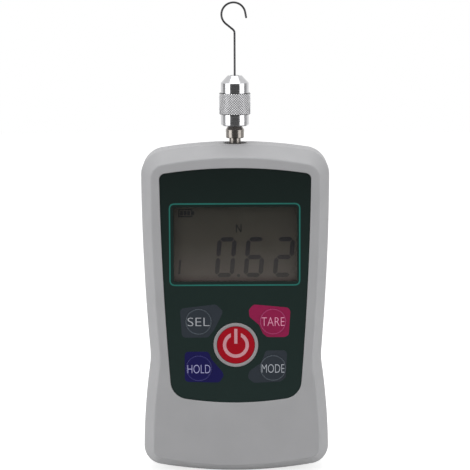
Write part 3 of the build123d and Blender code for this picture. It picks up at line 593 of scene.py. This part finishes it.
# ---- Power key prints ----
# The grey ring's section: radius, and depth behind the face of the key.
BEZEL_SECTION = [
    (8.2, 0.1), (8.3, -0.08), (9.35, -0.08), (9.55, -0.02), (9.63, 0.1), (9.63, 0.5), (8.2, 0.5),
]
BEZEL_STEPS = 160
bezel = [(radius, KEY_FRONT + depth) for radius, depth in BEZEL_SECTION]
add_piece(
    "power_bezel",
    turned_ring((0, KEYPAD_Z), bezel, BEZEL_STEPS),
    RING_GREY,
    "power_key",
)
SHADE_OUTER, SHADE_INNER = 8.25, 8.0
SYMBOL_OUTER, SYMBOL_INNER = 5.6, 4.15
SYMBOL_OUTER_GAP, SYMBOL_INNER_GAP = 23.0, 31.05
SYMBOL_STEPS = 64
SYMBOL_BAR = 1.35
SYMBOL_BAR_FOOT, SYMBOL_BAR_TOP = 0.6, 7.1
SYMBOL_BAR_CORNER = 0.1


def symbol_arc(radius, gap):
    """Arc about the middle of the power key, open at its top by a gap in degrees to each side."""
    return circle(0, KEYPAD_Z, radius, SYMBOL_STEPS, 90 + gap, 450 - gap)


outer_arc = symbol_arc(SYMBOL_OUTER, SYMBOL_OUTER_GAP)
inner_arc = symbol_arc(SYMBOL_INNER, SYMBOL_INNER_GAP)
symbol_bar = rectangle(
    -SYMBOL_BAR / 2,
    KEYPAD_Z + SYMBOL_BAR_FOOT,
    SYMBOL_BAR / 2,
    KEYPAD_Z + SYMBOL_BAR_TOP,
    SYMBOL_BAR_CORNER,
)
power_prints = {
    "power_shade": (
        [circle(0, KEYPAD_Z, SHADE_OUTER), circle(0, KEYPAD_Z, SHADE_INNER)],
        RING_SHADE,
    ),
    "power_arc": ([outer_arc + inner_arc[::-1]], SYMBOL_PINK),
    "power_bar": ([symbol_bar], SYMBOL_PINK),
}
for name, (loops, material) in power_prints.items():
    add_piece(name, plates([loops], KEY_FRONT - PRINT, PRINT), material, "power_key")


# ---- Display segments ----
# The reading: each digit, and where its foot starts.
READING = (("0", -9.1), ("6", 3.3), ("2", 15.9))
DIGIT_HEIGHT = 17.4
DIGIT_WIDTH = 8.3
DIGIT_FOOT = 86.95
STROKE = 1.9
JOINT_GAP = 0.2
SLANT = math.tan(math.radians(5.0))
LIT = {"0": "abcdef", "6": "acdefg", "2": "abdeg"}


def bar(ax, az, bx, bz):
    """One segment between two joints: a bar with pointed ends."""
    start, end = Vector((ax, az)), Vector((bx, bz))
    along = (end - start).normalized()
    start += along * JOINT_GAP
    end -= along * JOINT_GAP
    side = Vector((-along.y, along.x)) * STROKE / 2
    near, far = start + along * STROKE / 2, end - along * STROKE / 2
    return [start, near + side, far + side, end, far - side, near - side]


def digit(value, left):
    """The lit segments of one digit whose foot starts at left."""
    low = DIGIT_FOOT + STROKE / 2
    high = DIGIT_FOOT + DIGIT_HEIGHT - STROKE / 2
    middle = (low + high) / 2
    near = left + STROKE / 2
    far = left + DIGIT_WIDTH - STROKE / 2
    segments = {
        "a": (near, high, far, high),
        "b": (far, middle, far, high),
        "c": (far, low, far, middle),
        "d": (near, low, far, low),
        "e": (near, low, near, middle),
        "f": (near, middle, near, high),
        "g": (near, middle, far, middle),
    }
    shapes = [bar(*segments[key]) for key in LIT[value]]
    return [[[(x + (z - DIGIT_FOOT) * SLANT, z) for x, z in shape]] for shape in shapes]


digits = [shape for value, left in READING for shape in digit(value, left)]

POINT_X = 1.3
POINT_RADIUS = 0.7
POINT_STEPS = 24
point = [circle(POINT_X, DIGIT_FOOT + POINT_RADIUS, POINT_RADIUS, POINT_STEPS)]

# The slanted stroke at the lower left of the glass.
SIDE_STROKE = [(-24.7, 88.4), (-23.8, 88.4), (-23.3, 94.6), (-24.2, 94.6)]

# The unit letter N: two posts and the slope between them.
UNIT_FOOT, UNIT_TOP = 106.4, 109.9
UNIT_LEFTS = (0.2, 2.2)
UNIT_STROKE = 0.45
UNIT_SLOPE = 0.9
UNIT_CORNER = 0.05
unit = [
    [rectangle(left, UNIT_FOOT, left + UNIT_STROKE, UNIT_TOP, UNIT_CORNER)]
    for left in UNIT_LEFTS
]
slope_left, slope_right = UNIT_LEFTS[0] + UNIT_STROKE, UNIT_LEFTS[1]
slope = [
    (slope_left, UNIT_TOP),
    (slope_left, UNIT_TOP - UNIT_SLOPE),
    (slope_right, UNIT_FOOT),
    (slope_right, UNIT_FOOT + UNIT_SLOPE),
]
unit.append([slope])

# The battery symbol: its outline, its cap and the bars of its charge.
BATTERY_LEFT, BATTERY_FOOT, BATTERY_RIGHT, BATTERY_TOP = -24.4, 113.1, -18.4, 116.6
BATTERY_LINE = 0.5
BATTERY_CORNER = 0.3
BATTERY_CAP = (-18.35, 114.1, -17.6, 115.6)
CHARGE_LEFTS = (-23.6, -22.1, -20.6)
CHARGE_FOOT, CHARGE_TOP = 113.9, 115.8
CHARGE_WIDTH = 1.2
MARK_CORNER = 0.1
battery_outside = rectangle(
    BATTERY_LEFT, BATTERY_FOOT, BATTERY_RIGHT, BATTERY_TOP, BATTERY_CORNER
)
battery_inside = rectangle(
    BATTERY_LEFT + BATTERY_LINE,
    BATTERY_FOOT + BATTERY_LINE,
    BATTERY_RIGHT - BATTERY_LINE,
    BATTERY_TOP - BATTERY_LINE,
    MARK_CORNER,
)
battery = [[battery_outside, battery_inside], [rectangle(*BATTERY_CAP, MARK_CORNER)]]
battery += [
    [rectangle(left, CHARGE_FOOT, left + CHARGE_WIDTH, CHARGE_TOP, MARK_CORNER)]
    for left in CHARGE_LEFTS
]

INK_DEPTH = 0.01
ink = digits + [point, [SIDE_STROKE]] + unit + battery
add_piece(
    "display_segments",
    plates(ink, GLASS_FRONT - INK_DEPTH, INK_DEPTH),
    DISPLAY_INK,
    "case",
)


# ---- Knurled sleeve ----
KNURL_COLUMNS = 78
KNURL_ROWS = 16


def knurled_sleeve():
    """Sleeve with a diamond knurl: a pyramid in every cell of two crossed sets of grooves."""
    knurl_foot = SLEEVE_FOOT + SLEEVE_CHAMFER
    knurl_height = SLEEVE_TOP - SLEEVE_FOOT - 2 * SLEEVE_CHAMFER
    mesh = bmesh.new()

    def ring(radius, height):
        turns = [2 * math.pi * column / KNURL_COLUMNS for column in range(KNURL_COLUMNS)]
        return [
            mesh.verts.new((radius * math.cos(t) * MM, radius * math.sin(t) * MM, height * MM))
            for t in turns
        ]

    grid = []
    for row in range(KNURL_ROWS + 1):
        height = knurl_foot + knurl_height * row / KNURL_ROWS
        line = ring(SLEEVE_RADIUS, height)
        for column, vertex in enumerate(line):
            if (row + column) % 2 == 1:
                vertex.co.xy *= (SLEEVE_RADIUS - SLEEVE_KNURL) / SLEEVE_RADIUS
        grid.append(line)
    for row in range(KNURL_ROWS):
        for column in range(KNURL_COLUMNS):
            ahead = (column + 1) % KNURL_COLUMNS
            a, b = grid[row][column], grid[row][ahead]
            c, d = grid[row + 1][ahead], grid[row + 1][column]
            if (row + column) % 2 == 0:
                mesh.faces.new([a, b, d])
                mesh.faces.new([b, c, d])
            else:
                mesh.faces.new([a, b, c])
                mesh.faces.new([a, c, d])
    low_rim = ring(SLEEVE_RADIUS - SLEEVE_CHAMFER, SLEEVE_FOOT)
    high_rim = ring(SLEEVE_RADIUS - SLEEVE_CHAMFER, SLEEVE_TOP)
    low_bore = ring(SLEEVE_BORE, SLEEVE_FOOT)
    high_bore = ring(SLEEVE_BORE, SLEEVE_TOP)
    bands = [(grid[0], low_rim), (low_rim, low_bore), (low_bore, high_bore)]
    bands += [(high_bore, high_rim), (high_rim, grid[-1])]
    for first, second in bands:
        for column in range(KNURL_COLUMNS):
            ahead = (column + 1) % KNURL_COLUMNS
            mesh.faces.new([first[column], first[ahead], second[ahead], second[column]])
    bmesh.ops.recalc_face_normals(mesh, faces=mesh.faces)
    made = bpy.data.meshes.new("knurled_sleeve")
    mesh.to_mesh(made)
    mesh.free()
    return made


sleeve = add_piece(
    "knurled_sleeve", knurled_sleeve(), MATERIALS["sleeve_steel"], "chuck_sleeve"
)
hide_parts("chuck_sleeve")


# ---- Camera ----
# In metres, with the focal length in pixels of a picture that is PHOTO_PIXELS wide.
PHOTO_PIXELS = 470
FOCAL_PIXELS = 2064.0
NEAREST, FARTHEST = 0.01, 60.0
DISTANCE = 0.9
PITCH = math.radians(8.5)
ROLL = math.radians(0.25)
TARGET = Vector((-0.00017, 0, 0.10307))

forward = Vector((0, math.cos(PITCH), -math.sin(PITCH)))
upward = Vector((0, math.sin(PITCH), math.cos(PITCH)))
right = Vector((1, 0, 0))
side = right * math.cos(ROLL) - upward * math.sin(ROLL)
rise = upward * math.cos(ROLL) + right * math.sin(ROLL)
camera = bpy.data.objects.new("camera", bpy.data.cameras.new("camera"))
bpy.context.scene.collection.objects.link(camera)
camera.matrix_world = Matrix.Translation(TARGET - forward * DISTANCE) @ Matrix(
    (side, rise, -forward)
).transposed().to_4x4()
camera.data.sensor_width = 36.0
camera.data.lens = camera.data.sensor_width * FOCAL_PIXELS / PHOTO_PIXELS
camera.data.clip_start = NEAREST
camera.data.clip_end = FARTHEST
bpy.context.scene.camera = camera


# ---- Stage ----
WORLD_FILL = 0.53
FLOOR_RADIUS = 1500
FLOOR_GREY = (0.62, 0.62, 0.62, 1)
FLOOR_GLOW = 0.72


def seen_factor(tree):
    """1 where the camera, a mirror or a glass looks, 0 for the light that surfaces share."""
    path = tree.nodes.new("ShaderNodeLightPath")
    total = path.outputs["Is Camera Ray"]
    for name in ("Is Glossy Ray", "Is Transmission Ray"):
        add = tree.nodes.new("ShaderNodeMath")
        add.operation = "MAXIMUM"
        tree.links.new(total, add.inputs[0])
        tree.links.new(path.outputs[name], add.inputs[1])
        total = add.outputs[0]
    return total


def stage_plane(name, corners, material):
    mesh = bpy.data.meshes.new(name)
    mesh.from_pydata(corners, [], [list(range(len(corners)))])
    mesh.materials.append(material)
    plane = bpy.data.objects.new(name, mesh)
    bpy.context.scene.collection.objects.link(plane)
    return plane


world = bpy.data.worlds.new("studio")
world.use_nodes = True
bpy.context.scene.world = world
tree = world.node_tree
background = tree.nodes["Background"]
background.inputs["Color"].default_value = (1, 1, 1, 1)
level = tree.nodes.new("ShaderNodeMapRange")
level.inputs["To Min"].default_value = WORLD_FILL
level.inputs["To Max"].default_value = 1.0
tree.links.new(seen_factor(tree), level.inputs["Value"])
tree.links.new(level.outputs["Result"], background.inputs["Strength"])

floor_material = bpy.data.materials.new("floor")
floor_material.use_nodes = True
tree = floor_material.node_tree
shader = tree.nodes["Principled BSDF"]
shader.inputs["Base Color"].default_value = FLOOR_GREY
shader.inputs["Roughness"].default_value = 0.9
shader.inputs["Specular IOR Level"].default_value = 0.0
shader.inputs["Emission Color"].default_value = (1, 1, 1, 1)
glow = tree.nodes.new("ShaderNodeMath")
glow.operation = "MULTIPLY"
glow.inputs[1].default_value = FLOOR_GLOW
tree.links.new(seen_factor(tree), glow.inputs[0])
tree.links.new(glow.outputs[0], shader.inputs["Emission Strength"])
stage_plane("floor", [(x * MM, y * MM, 0) for x, y in circle(0, 0, FLOOR_RADIUS)], floor_material)


def flag(name, corners, brightness):
    """Grey card on the stage that only mirrors see."""
    material = bpy.data.materials.new(name)
    material.use_nodes = True
    shader = material.node_tree.nodes["Principled BSDF"]
    shader.inputs["Base Color"].default_value = (0.02, 0.02, 0.02, 1)
    shader.inputs["Roughness"].default_value = 0.9
    shader.inputs["Specular IOR Level"].default_value = 0.0
    shader.inputs["Emission Color"].default_value = (1, 1, 1, 1)
    shader.inputs["Emission Strength"].default_value = brightness
    card = stage_plane(name, corners, material)
    card.visible_camera = False
    card.visible_diffuse = False
    card.visible_transmission = False
    card.visible_shadow = False


# In metres. The floor card lies just above the floor, widens towards the camera and ends at
# the wall card, and the side cards stand upright.
GREY_CARD, DARK_CARD = 0.4, 0.08
FLOOR_CARD = [(-0.8, -0.95), (-0.3, -0.3), (-0.25, -0.04), (0.25, -0.04), (0.3, -0.3), (0.8, -0.95)]
FLOOR_CARD_LIFT = 0.0005
SIDE_CARD_X = 1.3
SIDE_CARD = [(-0.16, 0), (0.6, 0), (0.6, 1.2), (-0.16, 1.2)]
WALL_CARD_Y = -0.95
WALL_CARD = [(-0.8, 0), (-0.8, 0.7), (0.8, 0.7), (0.8, 0)]
flag("flag_floor", [(x, y, FLOOR_CARD_LIFT) for x, y in FLOOR_CARD], GREY_CARD)
flag("flag_side_1", [(-SIDE_CARD_X, y, z) for y, z in SIDE_CARD], GREY_CARD)
flag("flag_side_3", [(SIDE_CARD_X, y, z) for y, z in SIDE_CARD], GREY_CARD)
flag("flag_wall", [(x, WALL_CARD_Y, z) for x, z in WALL_CARD], DARK_CARD)


# ---- Lamps ----
def softbox(name, azimuth, width, height, radiance, reach=1.0, lift=0.15):
    """Area lamp round the part that faces its middle, with a brightness where 1 is white."""
    turn = math.radians(azimuth)
    place = (reach * math.sin(turn), -reach * math.cos(turn), lift)
    lamp = bpy.data.lights.new(name, "AREA")
    lamp.shape = "RECTANGLE"
    lamp.size = width
    lamp.size_y = height
    lamp.energy = radiance * math.pi * width * height
    holder = bpy.data.objects.new(name, lamp)
    bpy.context.scene.collection.objects.link(holder)
    holder.location = place
    holder.rotation_euler = (TARGET - Vector(place)).to_track_quat("-Z", "Y").to_euler()
    holder.visible_camera = False


softbox("softbox_left", azimuth=-62, width=0.72, height=1.0, radiance=2.1)
softbox("softbox_right", azimuth=62, width=0.72, height=1.0, radiance=1.5)
softbox("softbox_top", azimuth=180, width=0.8, height=0.8, radiance=2.2, reach=0.05, lift=1.1)

bpy.context.scene.view_settings.view_transform = "Standard"
